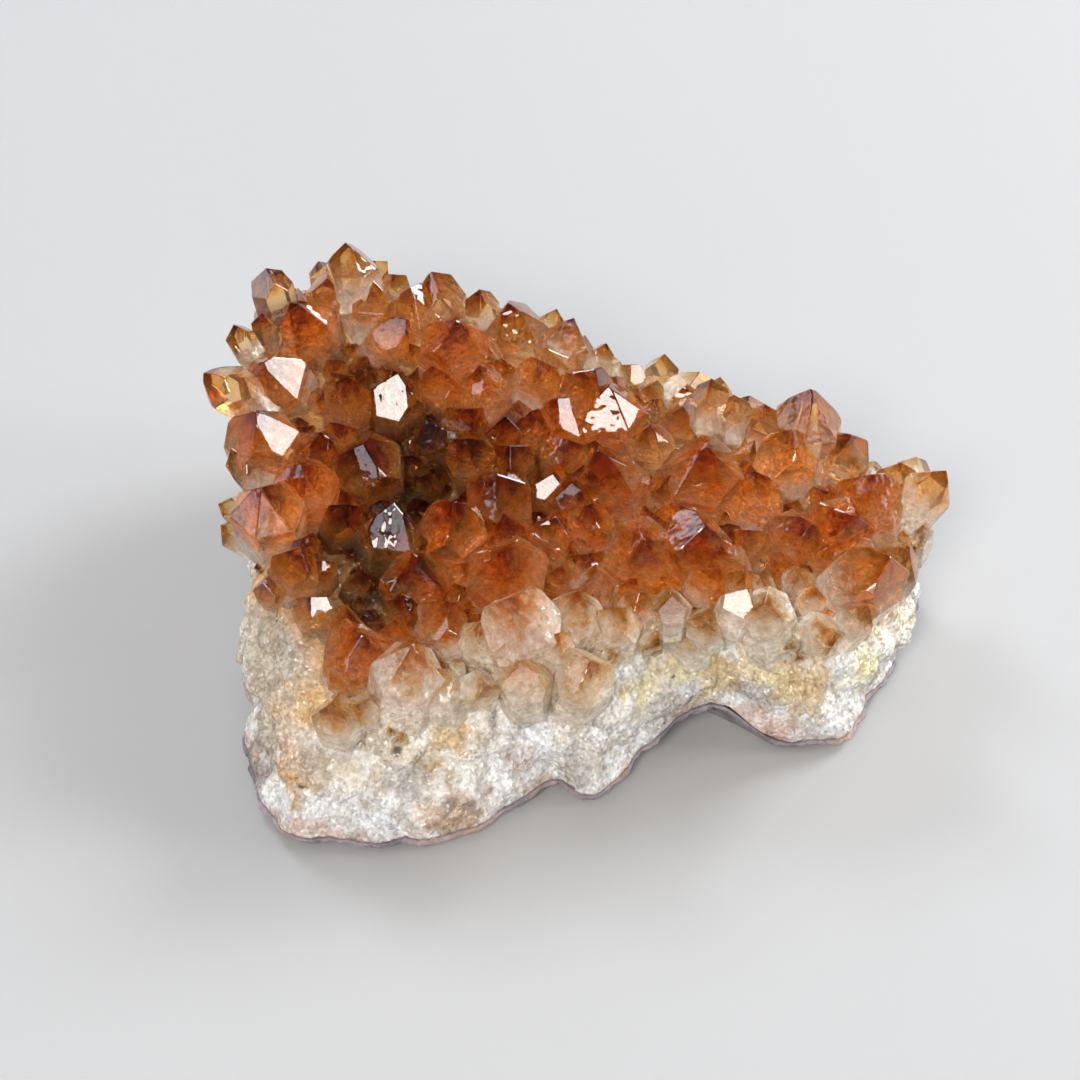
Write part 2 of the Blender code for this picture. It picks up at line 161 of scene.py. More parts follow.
# %% [markdown]
# ## The milky quartz
# The bed that the points stand on and the broken wall below it are one surface. Its outline is drawn by ribs round
# the slab, each with the foot of the wall and the rim above it, and a smooth closed curve runs through them. The
# surface is then a grid: round the slab one way, and out over the bed and down the wall the other way.

# %% The slab's edge
RIBS = (
    (52, 0, 4, 50, 2, 18),
    (51, -9, 3, 48, -6, 18),
    (47, -18, 3, 44, -13, 19),
    (42, -26, 2.5, 40, -20, 20),
    (37, -31, 2.5, 35, -25, 21),
    (29, -31, 3, 27, -26, 22),
    (21, -28, 7, 20, -25, 23),
    (14, -30, 6.5, 12, -26, 23),
    (8, -36, 4, 5, -29, 23),
    (1, -41, 2.5, -1, -33, 22),
    (-5, -39, 3, -8, -33, 22),
    (-14, -46, 2.5, -17, -36, 21),
    (-25, -50, 2.5, -26, -39, 20),
    (-36, -49, 2.5, -34, -39, 19),
    (-44, -47, 2.5, -40, -36, 19),
    (-49, -36, 3, -44, -27, 22),
    (-51, -25, 5, -46, -15, 24),
    (-49, -11, 5, -48, -2, 25),
    (-47, 4, 4, -49, 12, 26),
    (-47, 18, 3.5, -49, 26, 29),
    (-42, 30, 3, -43, 36, 32),
    (-32, 35, 3, -33, 38, 33),
    (-20, 31, 3, -22, 34, 31),
    (-8, 26, 3, -9, 28, 29),
    (4, 27, 2.5, 2, 27, 24),
    (15, 31, 2.5, 12, 28, 20),
    (23, 26, 3, 20, 24, 20),
    (30, 18, 3.5, 28, 17, 20),
    (38, 11, 3.5, 37, 10, 23),
    (46, 7, 4, 44, 6, 21),
)  # x, y, z of the foot and x, y, z of the rim, in mm
BED_MIDDLE = np.array((-2, -3, 21)) * MM
BED_UNDERSIDE = 4.5 * MM
WALL_BELLY = 1.5 * MM
WALL_LUMP = 9 * MM
LUMP_HEIGHT = 4.2 * MM


def smooth_loop(points, steps):
    """Points on a closed Catmull-Rom curve: between two corners the curve is a cubic whose slope at each corner
    is half the line from the corner before it to the corner after it."""
    corners = np.asarray(points, float)
    before, after = np.roll(corners, 1, 0), np.roll(corners, -1, 0)
    beyond = np.roll(corners, -2, 0)
    t = (np.arange(steps) / steps)[None, :, None]
    p0, p1, p2, p3 = (p[:, None, :] for p in (before, corners, after, beyond))
    curve = 2 * p1 + (p2 - p0) * t + (2 * p0 - 5 * p1 + 4 * p2 - p3) * t**2
    curve = curve + (3 * p1 - p0 - 3 * p2 + p3) * t**3
    return (curve / 2).reshape(-1, corners.shape[1])


def slab_rings(steps, bed_shares, wall_shares):
    """Rings of the milky quartz: out over the bed, which is a shallow dish or dome between its middle and the rim,
    and down the wall, which swells a little and is lumpy."""
    edge = smooth_loop(RIBS, steps) * MM
    foot, rim = edge[:, :3], edge[:, 3:]
    outward = np.zeros_like(foot)
    outward[:, :2] = foot[:, :2] / np.linalg.norm(foot[:, :2], axis=1)[:, None]
    rings = []
    for share in bed_shares:
        ring = BED_MIDDLE + (rim - BED_MIDDLE) * share
        ring[:, 2] = BED_MIDDLE[2] + (rim[:, 2] - BED_MIDDLE[2]) * share**2
        rings.append(ring)
    for share in wall_shares:
        ring = rim + (foot - rim) * share
        lump = lumps(ring, WALL_LUMP, 1) * 0.7 + lumps(ring, WALL_LUMP / 2, 5) * 0.3 - 0.4
        swell = WALL_BELLY * math.sin(math.pi * share) + LUMP_HEIGHT * lump * (1 - 0.5 * share**4)
        rings.append(ring + outward * swell[:, None])
    return rings


def unit_normals(grid):
    """Normals of a grid that closes on itself along its second axis: the cross product of its two slopes."""
    around = np.roll(grid, -1, 1) - np.roll(grid, 1, 1)
    down = np.gradient(grid, axis=0)
    normal = np.cross(around, down)
    return normal / np.maximum(np.linalg.norm(normal, axis=2, keepdims=True), 1e-12)


# %% A closed mesh from rings
def ring_faces(rings, count):
    """Faces of a closed surface: a fan at the first point, quads from ring to ring and a fan at the last point."""
    i = np.arange(count)
    j = (i + 1) % count
    first = np.stack([np.zeros(count, int), 1 + j, 1 + i], 1)
    k = 1 + count * np.arange(rings - 1)[:, None]
    quads = np.stack([k + i, k + j, k + count + j, k + count + i], -1).reshape(-1, 4)
    end = 1 + count * (rings - 1)
    last = np.stack([end + i, end + j, np.full(count, end + count)], 1)
    return first.tolist() + quads.tolist() + last.tolist()


def new_piece(name, points, faces):
    """A mesh object at the origin with its place in its mesh."""
    mesh = bpy.data.meshes.new(name)
    mesh.from_pydata(np.asarray(points).tolist(), [], faces)
    piece = bpy.data.objects.new(name, mesh)
    bpy.context.scene.collection.objects.link(piece)
    return piece


def ring_piece(name, rings, first, last):
    """A closed piece from rings that run anticlockwise as seen from the first point's side."""
    points = np.concatenate([[first], *rings, [last]])
    return new_piece(name, points, ring_faces(len(rings), len(rings[0])))


coarse = slab_rings(3, (0.5, 1.0), (0.25, 0.5, 0.75, 1.0))
coarse_points = np.concatenate([[BED_MIDDLE], *coarse, [(0, 0, BED_UNDERSIDE)]])
bed = BVHTree.FromPolygons(coarse_points.tolist(), ring_faces(len(coarse), len(coarse[0])))
print("coarse slab", len(coarse_points), "points")

# %% [markdown]
# ## Where the points stand
# Each big point is read off the photograph by the pixels of its tip and of its foot, and by its width. The foot is
# where the line of sight through its pixel meets the bed. The tip lies on the line of sight through its own pixel,
# as far from the foot as the point is long. A pixel gives no depth, and this gives it.

# %% The big points
POINT_LENGTH = 1.3  # a point's length above the bed, in widths
POINT_SWELL = 1.1  # the eye sees less than a point's full width between its neighbours
LEAST_SLANT = 1.05  # a point is at least this much longer than the eye sees it
ROOT_LENGTH = 0.55  # how far it goes into the bed, in widths
ROOT_SINK = 0.4  # how far below the bed its axis starts, in widths
ROOT_STARTS = 1.36  # from here on its root narrows, in widths from the tip
ROOT_TAPER = math.radians(33)  # between a side of the root and the axis
BACK_POINTS = (
    (346, 240, 356, 272, 48), (266, 266, 295, 300, 38), (328, 277, 328, 312, 40), (372, 278, 366, 330, 46),
    (391, 273, 400, 295, 26), (432, 270, 448, 292, 50), (411, 287, 440, 325, 50), (456, 320, 452, 372, 64),
    (507, 302, 525, 362, 60), (574, 319, 575, 350, 45), (565, 338, 565, 362, 40), (503, 358, 512, 378, 28),
    (545, 361, 535, 395, 42), (440, 360, 450, 412, 46), (480, 360, 492, 420, 48), (596, 369, 580, 420, 60),
    (605, 386, 620, 445, 62), (264, 362, 292, 388, 58), (202, 371, 236, 376, 44), (222, 375, 250, 386, 42),
    (233, 324, 252, 345, 26), (262, 312, 282, 326, 26), (288, 300, 322, 350, 58), (272, 322, 285, 345, 26),
    (408, 318, 375, 350, 44), (607, 343, 612, 362, 22), (556, 309, 545, 325, 22), (478, 290, 478, 312, 30),
    (630, 364, 636, 385, 26), (650, 386, 655, 402, 26), (712, 378, 700, 398, 36), (735, 394, 728, 415, 32),
    (765, 404, 758, 424, 38), (812, 390, 810, 432, 62), (852, 436, 838, 475, 44), (900, 461, 905, 490, 42),
)  # tip across and down, foot across and down, and width, in pixels
MIDDLE_POINTS = (
    (350, 376, 345, 425, 46), (398, 372, 395, 425, 52), (252, 408, 278, 465, 66), (232, 448, 238, 495, 36),
    (322, 434, 318, 470, 50), (362, 444, 378, 485, 66), (300, 463, 315, 505, 56), (263, 484, 278, 530, 62),
    (425, 420, 440, 460, 42), (556, 400, 575, 440, 48), (505, 415, 510, 448, 40), (530, 412, 538, 448, 36),
    (568, 438, 562, 470, 40), (466, 438, 476, 478, 46), (510, 447, 520, 475, 36), (500, 474, 500, 520, 64),
    (552, 473, 545, 508, 34), (428, 474, 430, 500, 26), (600, 450, 622, 505, 62), (570, 482, 572, 512, 44),
    (650, 424, 652, 462, 46), (682, 408, 682, 435, 42), (715, 400, 710, 432, 34), (762, 424, 735, 455, 50),
    (706, 446, 700, 498, 66), (674, 472, 672, 500, 40), (790, 428, 785, 485, 56), (754, 472, 758, 530, 46),
    (868, 474, 876, 525, 60), (945, 472, 932, 512, 44), (858, 520, 820, 525, 60), (812, 522, 780, 545, 52),
    (350, 505, 335, 540, 38), (395, 500, 388, 570, 62), (455, 504, 455, 552, 58), (505, 519, 508, 548, 42),
    (556, 516, 545, 552, 40), (590, 506, 588, 545, 44), (641, 540, 641, 554, 64), (706, 528, 680, 556, 64),
)
FRONT_POINTS = (
    (712, 543, 735, 580, 44), (742, 530, 758, 556, 34), (830, 546, 815, 568, 28), (803, 566, 795, 595, 30),
    (893, 556, 858, 612, 68), (862, 548, 845, 590, 48), (765, 602, 772, 632, 44), (596, 572, 590, 605, 40),
    (560, 566, 570, 592, 38), (505, 549, 510, 592, 70), (512, 596, 530, 640, 66), (580, 592, 572, 635, 50),
    (420, 563, 412, 595, 58), (463, 556, 460, 580, 26), (300, 546, 288, 590, 42), (402, 594, 412, 625, 40),
    (448, 603, 428, 635, 46), (362, 632, 350, 668, 56), (382, 642, 375, 676, 38), (345, 664, 338, 690, 30),
    (412, 647, 400, 712, 60), (434, 668, 445, 715, 44), (447, 630, 450, 655, 28), (480, 620, 482, 660, 38),
    (510, 638, 512, 662, 34), (558, 634, 555, 662, 34), (590, 660, 572, 702, 54), (520, 664, 525, 706, 48),
    (640, 592, 636, 616, 34), (672, 596, 670, 620, 34), (218, 503, 242, 520, 26), (220, 524, 250, 548, 32),
    (262, 584, 278, 594, 26), (310, 596, 318, 626, 32), (322, 560, 325, 585, 26), (763, 604, 766, 655, 46),
    (905, 540, 908, 585, 36), (690, 610, 694, 660, 46), (462, 586, 458, 602, 22), (722, 566, 700, 596, 40),
)


def place_seen(point):
    """Tip, direction and width of a point from its pixels."""
    tip_x, tip_y, foot_x, foot_y, width = point
    width = width / PIXELS_PER_MM * MM
    foot, normal, _, _ = bed.ray_cast(EYE, sight_line(foot_x, foot_y))
    if foot is None:
        foot, normal, _, _ = bed.find_nearest(EYE + sight_line(foot_x, foot_y) * EYE_DISTANCE)
    line = sight_line(tip_x, tip_y)
    nearest = (foot - EYE).dot(line)
    miss = (EYE + line * nearest - foot).length
    length = max(POINT_LENGTH * width, miss * LEAST_SLANT)
    tip = EYE + line * (nearest - math.sqrt(length**2 - miss**2))
    root = foot - normal * ROOT_SINK * width
    return tip, (tip - root).normalized(), width


placed = [place_seen(point) for point in BACK_POINTS + MIDDLE_POINTS + FRONT_POINTS]
taken = [(tip - direction * POINT_LENGTH * width, width) for tip, direction, width in placed]
print(len(placed), "big points")

# %% [markdown]
# ## Points behind and between
# The back of the slab isn't in the photograph. Some points lean out of it there, where the line of sight to their
# tips is blocked by the slab. Between the big points, small ones fill the bare places, as in any such cluster.

# %% Points that the photograph doesn't show
TRIES = 4000
HIDDEN_POINTS = 16
HIDDEN_BEHIND = 8 * MM  # they stand at a larger y than this
HIDDEN_WIDTHS = (4.5 * MM, 9 * MM)
HIDDEN_SPACING = 0.4  # least distance between two feet, in the sum of their widths
HIDDEN_LENGTH = 0.8 * POINT_LENGTH
HIDDEN_SINK = 0.9  # how far inside the wall their axes start, in widths
OUTWARD = (0.6, 1.1)  # their tips lie outward from their feet by this, against this much upward
UPWARD = 0.75
SIGHT_SHARE = 0.99  # a line of sight stops just short of the tip that it goes to
FILL_POINTS = 18
FILL_WIDTHS = (3.6 * MM, 5.5 * MM)
FILL_SPACING = (0.52, 0.36)  # least distance from an earlier foot, in that point's width and in its own
FILL_REACH = ((-46, 50), (-38, 36))  # where they are looked for, along X and Y, in mm
BED_LEVEL = 0.8  # the bed ends where its normal points up by less than this
LEAN = 0.2  # how much the directions of all these differ
chance = np.random.default_rng(7)


def place_hidden(rings):
    """Points that lean out from the walls where the eye can't see them, each clear of the ones before it."""
    walls = np.array(rings[2:4])
    found = []
    for _ in range(TRIES):
        if len(found) == HIDDEN_POINTS:
            break
        foot = Vector(walls[chance.integers(len(walls)), chance.integers(walls.shape[1])])
        width = chance.uniform(*HIDDEN_WIDTHS)
        if foot.y < HIDDEN_BEHIND:
            continue
        if any((foot - other).length < HIDDEN_SPACING * (width + wide) for other, wide in taken):
            continue
        away = Vector((foot.x, foot.y, 0)).normalized()
        lean = Vector(chance.normal(0, LEAN, 3))
        towards_tip = (away * chance.uniform(*OUTWARD) + Vector((0, 0, UPWARD)) + lean).normalized()
        tip = foot + towards_tip * HIDDEN_LENGTH * width
        line = tip - EYE
        if bed.ray_cast(EYE, line.normalized(), line.length * SIGHT_SHARE)[0] is None:
            continue
        root = foot - away * HIDDEN_SINK * width
        taken.append((foot, width))
        found.append((tip, (tip - root).normalized(), width))
    return found


def place_fill():
    """Small points straight out of the bed wherever the ones before them leave it bare."""
    found = []
    theirs, own = FILL_SPACING
    for _ in range(TRIES):
        if len(found) == FILL_POINTS:
            break
        above = Vector((chance.uniform(*FILL_REACH[0]), chance.uniform(*FILL_REACH[1]), 60)) * MM
        foot, normal, _, _ = bed.ray_cast(above, Vector((0, 0, -1)))
        width = chance.uniform(*FILL_WIDTHS)
        if foot is None or normal.z < BED_LEVEL:
            continue
        if any((foot - other).length < theirs * wide + own * width for other, wide in taken):
            continue
        direction = (normal + Vector(chance.normal(0, LEAN, 3))).normalized()
        taken.append((foot, width))
        found.append((foot + direction * POINT_LENGTH * width, direction, width))
    return found


placed += place_hidden(coarse)
placed += place_fill()
print(len(placed), "with those behind and between")


# %% Small points wherever the slab is bare
def scatter_small(count, widths, lowest, room, dice):
    """Small points that lean between straight out of the slab and upright. Feet are drawn on the rings of the bed
    and of the wall's upper part, and kept where no earlier point stands too close."""
    shelf = np.array(slab_rings(6, np.linspace(0.1, 0.97, 12), np.linspace(0.03, lowest, 3)))
    normal = unit_normals(shelf)
    radius = np.linalg.norm(shelf[..., :2] - BED_MIDDLE[:2], axis=2)
    order = dice.choice(radius.size, size=radius.size, replace=False, p=radius.ravel() / radius.sum())
    feet = np.array([foot for foot, _ in taken])
    wide = np.array([width for _, width in taken])
    found = []
    for pick in order:
        if len(found) == count:
            break
        foot, out = shelf.reshape(-1, 3)[pick], normal.reshape(-1, 3)[pick]
        foot = foot + dice.normal(0, 0.6, 3) * MM
        width = dice.uniform(*widths) * MM
        bare_corner = foot[0] < -36 * MM and foot[1] < -14 * MM
        if bare_corner or (np.linalg.norm(feet - foot, axis=1) < room * wide + 0.36 * width).any():
            continue
        direction = Vector(out + np.array((0, 0, 0.35)) + dice.normal(0, 0.25, 3)).normalized()
        feet = np.concatenate([feet, [foot]])
        wide = np.append(wide, width)
        found.append((Vector(foot) + direction * POINT_LENGTH * width * dice.uniform(0.5, 0.9), direction, width))
    taken.extend((tip - direction * POINT_LENGTH * width, width) for tip, direction, width in found)
    return found

# %% [markdown]
# ## The shape of a quartz point
# A quartz point has six upright sides and ends in six sloping faces, three of them larger, whose slope is the same
# on every quartz crystal in the world. Its root narrows, because the points crowd each other where they start to
# grow. Such a solid is easiest to give by its planes. Every meeting point of three
# planes that lies outside none of them is a corner, and the corners on a plane, sorted by angle, are its face.

# %% A point from its planes
FACE_SLOPE = math.radians(51.8)  # between a point's axis and the normal of its end faces
SIDE_REACH = (0.86, 1.06)  # how far its sides lie from its axis, in half widths
LARGE_END = 0.04  # how much its large end faces differ, in widths
LESSER_END = (0.02, 0.16)  # how far out its lesser end faces lie, in widths
SMALL_POINT = 7.2 * MM  # a point narrower than this ends in three faces only
NO_FACE = 9.0  # so far out, in widths, that a plane cuts nothing
MERGE = 0.001 * MM
CHAMFER = 0.016  # of the width: the edges of real points are worn by about this much


def crystal_planes(width, length, spin, dice):
    """Normals and distances of the planes round a point whose tip is at the origin and whose axis is +Z."""
    turn = spin + np.arange(6) * math.pi / 3
    sides = np.stack([np.cos(turn), np.sin(turn), np.zeros(6)], 1)
    slope_out, slope_up = math.sin(FACE_SLOPE), math.cos(FACE_SLOPE)
    ends = np.stack([np.cos(turn) * slope_out, np.sin(turn) * slope_out, np.full(6, slope_up)], 1)
    root_out, root_down = math.cos(ROOT_TAPER), math.sin(ROOT_TAPER)
    roots = np.stack([np.cos(turn) * root_out, np.sin(turn) * root_out, np.full(6, -root_down)], 1)
    large = dice.uniform(-LARGE_END, LARGE_END, 6)
    lesser = dice.uniform(*LESSER_END, 6) if width > SMALL_POINT else np.full(6, NO_FACE)
    side_reach = width / 2 * dice.uniform(*SIDE_REACH, 6)
    end_reach = width * np.where(np.arange(6) % 2, lesser, large)
    root_reach = side_reach * root_out + ROOT_STARTS * width * root_down
    normals = np.concatenate([sides, ends, roots, [[0, 0, -1]]])
    return normals, np.concatenate([side_reach, end_reach, root_reach, [length]])


def plane_solid(normals, reach):
    """Corners and faces of the solid that lies on the inner side of every plane, and the plane of each face."""
    count = len(reach)
    trios = np.stack(np.meshgrid(*[np.arange(count)] * 3, indexing="ij"), -1).reshape(-1, 3)
    trios = trios[(trios[:, 0] < trios[:, 1]) & (trios[:, 1] < trios[:, 2])]
    planes = normals[trios]
    crossing = np.abs(np.linalg.det(planes)) > 1e-6
    corners = np.linalg.solve(planes[crossing], reach[trios[crossing]][..., None])[..., 0]
    corners = corners[(corners @ normals.T <= reach + 1e-9).all(1)]
    corners = np.unique(np.round(corners / MERGE), axis=0) * MERGE
    faces, planes = [], []
    for plane, (normal, distance) in enumerate(zip(normals, reach)):
        on = np.flatnonzero(np.abs(corners @ normal - distance) < 3 * MERGE)
        if len(on) < 3:
            continue
        centre = corners[on].mean(0)
        across = corners[on[0]] - centre
        upward = np.cross(normal, across)
        angle = np.arctan2((corners[on] - centre) @ upward, (corners[on] - centre) @ across)
        faces.append(on[np.argsort(angle)].tolist())
        planes.append(plane)
    return corners, faces, planes


def crystal_piece(name, number, tip, direction, width, dice, chamfer=CHAMFER):
    """One point with slightly worn edges, with its number and the tone of its sectors on its faces."""
    sector_dice = np.random.default_rng(1000 + number).random(6)
    length = (POINT_LENGTH + ROOT_LENGTH) * width
    corners, faces, planes = plane_solid(*crystal_planes(width, length, dice.uniform(0, math.pi / 3), dice))
    mesh = bpy.data.meshes.new(name)
    mesh.from_pydata(corners.tolist(), [], faces)
    work = bmesh.new()
    work.from_mesh(mesh)
    number_layer = work.faces.layers.int.new("point_number")
    sector_layer = work.faces.layers.float.new("sector")
    for face, plane in zip(work.faces, planes):
        face[number_layer] = number
        lesser = 6 <= plane < 12 and plane % 2
        face[sector_layer] = sector_dice[plane % 6] * 0.6 + (0.45 if lesser else 0.1)
    if chamfer:
        edges = list(work.edges)
        bmesh.ops.bevel(work, geom=edges, offset=chamfer * width, segments=1, profile=0.5, affect="EDGES")
    turn = direction.to_track_quat("Z", "Y").to_matrix().to_4x4()
    bmesh.ops.transform(work, matrix=turn, verts=work.verts)
    bmesh.ops.translate(work, vec=tip, verts=work.verts)
    bmesh.ops.recalc_face_normals(work, faces=work.faces)
    work.to_mesh(mesh)
    work.free()
    return bpy.data.objects.new(name, mesh)


# %% Grow the points and join them
small_dice = np.random.default_rng(11)
small = scatter_small(70, (4.2, 6.8), 0.06, 0.46, small_dice)
small += scatter_small(200, (2.2, 4.0), 0.1, 0.5, small_dice)
small += scatter_small(120, (1.3, 2.3), 0.14, 0.5, small_dice)
points = bpy.data.collections.new("points")
grown = []
for number, (tip, direction, width) in enumerate(placed):
    grown.append((tip, direction, width * POINT_SWELL))
    points.objects.link(crystal_piece(f"point_{number:03d}", number, *grown[-1], chance))
for tip, direction, width in small:
    number = len(grown)
    grown.append((tip, direction, width * POINT_SWELL))
    points.objects.link(crystal_piece(f"point_{number:03d}", number, *grown[-1], small_dice, 0))
print(len(grown), "points grown")


def join_points(name):
    """One glassy body out of all the points: a Boolean union takes away the walls inside them, where they cut
    through each other, which would show through the clear quartz."""
    first, *others = points.objects
    whole = bpy.data.objects.new(name, first.data.copy())
    bpy.context.scene.collection.objects.link(whole)
    points.objects.unlink(first)
    bpy.context.scene.collection.children.link(points)
    grow = whole.modifiers.new("grown_together", "BOOLEAN")
    grow.operation = "UNION"
    grow.operand_type = "COLLECTION"
    grow.collection = points
    grow.solver = "EXACT"
    mesh = bpy.data.meshes.new_from_object(whole.evaluated_get(bpy.context.evaluated_depsgraph_get()))
    whole.modifiers.clear()
    whole.data = mesh
    for one in others:
        bpy.data.objects.remove(one)
    bpy.data.objects.remove(first)
    bpy.data.collections.remove(points)
    return whole


citrine = join_points("citrine_points")
print("citrine_points", len(citrine.data.polygons), "faces", [a.name for a in citrine.data.attributes])

# %% [markdown]
# ## Where the points are dark and where they are pale
# The heat turned the points red-brown where they had the most iron, in the middle of the slab, and left them golden
# or clear at its edges. Each zone here is a place on the slab, given by its pixel in the photograph, with its reach
# and its tone, and a point takes the tone of the zones near it.

# %% Tones
ZONES = (
    (345, 570, 9, 0.0), (440, 470, 11, 0.0), (400, 390, 9, 0.12), (560, 460, 8, 0.08), (290, 330, 9, 0.25),
    (270, 450, 12, 0.3), (210, 380, 8, 0.75), (230, 515, 6, 0.95), (350, 250, 7, 0.65), (460, 285, 8, 0.6),
    (575, 330, 8, 0.75), (690, 385, 9, 0.85), (760, 410, 8, 0.8), (500, 330, 8, 0.4), (620, 480, 10, 0.35),
    (700, 470, 10, 0.3), (800, 440, 9, 0.35), (830, 520, 8, 0.25), (920, 480, 9, 0.75), (890, 540, 8, 0.7),
    (860, 600, 8, 0.6), (680, 580, 9, 0.4), (480, 560, 9, 0.35), (400, 700, 8, 0.9), (515, 690, 8, 0.95),
    (590, 680, 8, 0.9), (670, 640, 8, 0.9), (765, 640, 8, 0.95), (840, 650, 7, 0.95), (340, 650, 6, 0.3),
    (300, 590, 7, 0.5), (500, 470, 8, 0.3), (330, 430, 8, 0.25), (420, 300, 7, 0.4), (364, 608, 4, 0.0),
)  # across, down, reach in mm and tone, from 0, dark, to 1, pale
EDGE_TONE = 0.45  # where no zone reaches


def zone_places():
    """The places on the slab where the lines of sight through the zones' pixels meet it."""
    places = []
    for across, down, _, _ in ZONES:
        line = sight_line(across, down)
        hit = bed.ray_cast(EYE, line)[0] or bed.find_nearest(EYE + line * EYE_DISTANCE)[0]
        places.append(hit)
    return np.array(places)


def tone_at(points):
    """The tone at each point: the mean of the zones, weighted by a bell curve of the distance over their reach."""
    places = zone_places()
    reach = np.array([zone[2] for zone in ZONES]) * MM
    tone = np.array([zone[3] for zone in ZONES])
    distance = np.linalg.norm(np.asarray(points)[:, None] - places[None], axis=2)
    weight = np.exp(-((distance / reach) ** 2))
    return ((weight * tone).sum(1) + 0.02 * EDGE_TONE) / (weight.sum(1) + 0.02)


# %% Colour along each point
def colour_growth(piece):
    """Writes on each face corner how far it is from its point's tip, 0 at the tip and 1 at the bed, then the tone
    of its point and the tone of its sector, so that the material can turn from amber to clear."""
    mesh = piece.data
    numbers = np.zeros(len(mesh.polygons), np.int32)
    mesh.attributes["point_number"].data.foreach_get("value", numbers)
    places = np.zeros(len(mesh.vertices) * 3)
    mesh.vertices.foreach_get("co", places)
    corner_vertex = np.zeros(len(mesh.loops), np.int32)
    mesh.loops.foreach_get("vertex_index", corner_vertex)
    sizes = np.zeros(len(mesh.polygons), np.int32)
    mesh.polygons.foreach_get("loop_total", sizes)
    owner = np.repeat(numbers, sizes)
    tips = np.array([tip for tip, _, _ in grown])
    axes = np.array([direction for _, direction, _ in grown])
    widths = np.array([width for _, _, width in grown])
    drop = ((tips[owner] - places.reshape(-1, 3)[corner_vertex]) * axes[owner]).sum(1)
    sectors = np.zeros(len(mesh.polygons))
    mesh.attributes["sector"].data.foreach_get("value", sectors)
    sector = np.repeat(sectors, sizes)
    colours = np.stack([drop / (POINT_LENGTH * widths[owner]), tones[owner], sector, np.ones(len(owner))], 1)
    growth = mesh.color_attributes.new("growth", "FLOAT_COLOR", "CORNER")
    growth.data.foreach_set("color", np.clip(colours, 0, 1.5).ravel())


tones = tone_at([tip - direction * width for tip, direction, width in grown])
colour_growth(citrine)
print("tones from", round(tones.min(), 2), "to", round(tones.max(), 2))

# %% [markdown]
# ## The milky body
# Under the points lies quartz that grew too fast to be clear. It is modelled finely here: the same surface as in
# the frame, with a sugary relief on its broken wall. Each grain is a small tilted facet, made by Worley noise again,
# this time with a slope of its own for each seed.

# %% Relief of the milky quartz
COLUMN = 6.5 * MM  # width of the bodies of the points, where they run down into the wall
COLUMN_HEIGHT = 1.1 * MM
COLUMN_STRETCH = 0.22  # they are longer than wide
LEDGE = 5 * MM  # size of the broken lumps on the wall
LEDGE_HEIGHT = 0.55 * MM
GRAIN = 1.0 * MM
GRAIN_HEIGHT = 0.16 * MM
AROUND = 27  # steps from rib to rib


def sugar(points, size, seed):
    """Tilted facets between about -1 and 1: each seed has its own height and its own slope across its lump."""
    near, _, offset, own = worley(points, size, seed)
    slope = (own[:, :3] - 0.5) * 2.2
    return (offset * slope).sum(1) + (own[:, 3] - 0.5) * 1.2 - near * 0.5


def columns(points):
    """Upright rounded bodies side by side, about 1 on their ridges: lumps in a space squeezed along Z. The second
    result is a random number of each body's own."""
    squeezed = np.asarray(points) * (1, 1, COLUMN_STRETCH)
    near, second, _, own = worley(squeezed, COLUMN, 51)
    return np.clip((second - near) * 2.2, 0, 1) ** 0.5 - 0.5, own[:, 3]


def milky_grid():
    """The slab's rings at a fine pitch, pushed in and out by the bodies of the points in the upper part of the wall,
    by ledges and by grains. The relief fades at the foot, where the rind begins. The second result is how deep each
    point lies: -1 at the middle of the bed, 0 at the rim and 1 at the foot."""
    bed_shares = np.linspace(0.08, 1, 24)
    wall_shares = np.linspace(0.015, 1, 64)
    grid = np.array(slab_rings(AROUND, bed_shares, wall_shares))
    flat = grid[len(bed_shares):].reshape(-1, 3)
    down = np.repeat(wall_shares, grid.shape[1])
    body, _ = columns(flat)
    relief = body * COLUMN_HEIGHT * (1 - down) ** 0.5
    relief += sugar(flat, LEDGE, 21) * LEDGE_HEIGHT
    relief += (sugar(flat, GRAIN, 22) + sugar(flat, GRAIN / 2, 23) * 0.6) * GRAIN_HEIGHT
    relief *= np.clip((1 - down) * 8, 0.3, 1)
    relief = relief.reshape(len(wall_shares), -1)
    relief = np.concatenate([np.zeros((len(bed_shares), relief.shape[1])), relief])
    depth = np.repeat(np.concatenate([bed_shares - 1, wall_shares]), grid.shape[1])
    return grid + unit_normals(grid) * relief[..., None], depth


# %% [markdown]
# ## Colours of the milky quartz
# The wall is a cut through the layers, in the order in which they grew from the rind upward: a pinkish line, grey
# sugar, cream, then honey that turns amber at the foot of the points. So its colour is a curve over the depth in
# the wall. Stains and tints that belong to one place are patches, each with its place and reach. All of it is
# written on the mesh's points, and the material only adds what is finer than the mesh.

# %% Layers and patches
LAYERS = (
    (-1.0, (0.74, 0.42, 0.16)), (-0.15, (0.76, 0.45, 0.18)), (0.02, (0.78, 0.48, 0.21)), (0.16, (0.80, 0.56, 0.32)),
    (0.32, (0.86, 0.71, 0.53)), (0.52, (0.91, 0.84, 0.74)), (0.76, (0.90, 0.90, 0.88)), (0.92, (0.82, 0.84, 0.86)),
    (1.0, (0.72, 0.58, 0.52)),
)
WHITE, YELLOW, HONEY, PEACH = (0.88, 0.90, 0.92), (0.88, 0.79, 0.42), (0.74, 0.54, 0.27), (0.88, 0.68, 0.54)
GREY, BROWN, PINK, AMBER = (0.52, 0.49, 0.46), (0.30, 0.23, 0.19), (0.74, 0.54, 0.45), (0.72, 0.36, 0.09)
SOOT, TAN, STONE = (0.03, 0.02, 0.02), (0.52, 0.38, 0.26), (0.62, 0.54, 0.44)
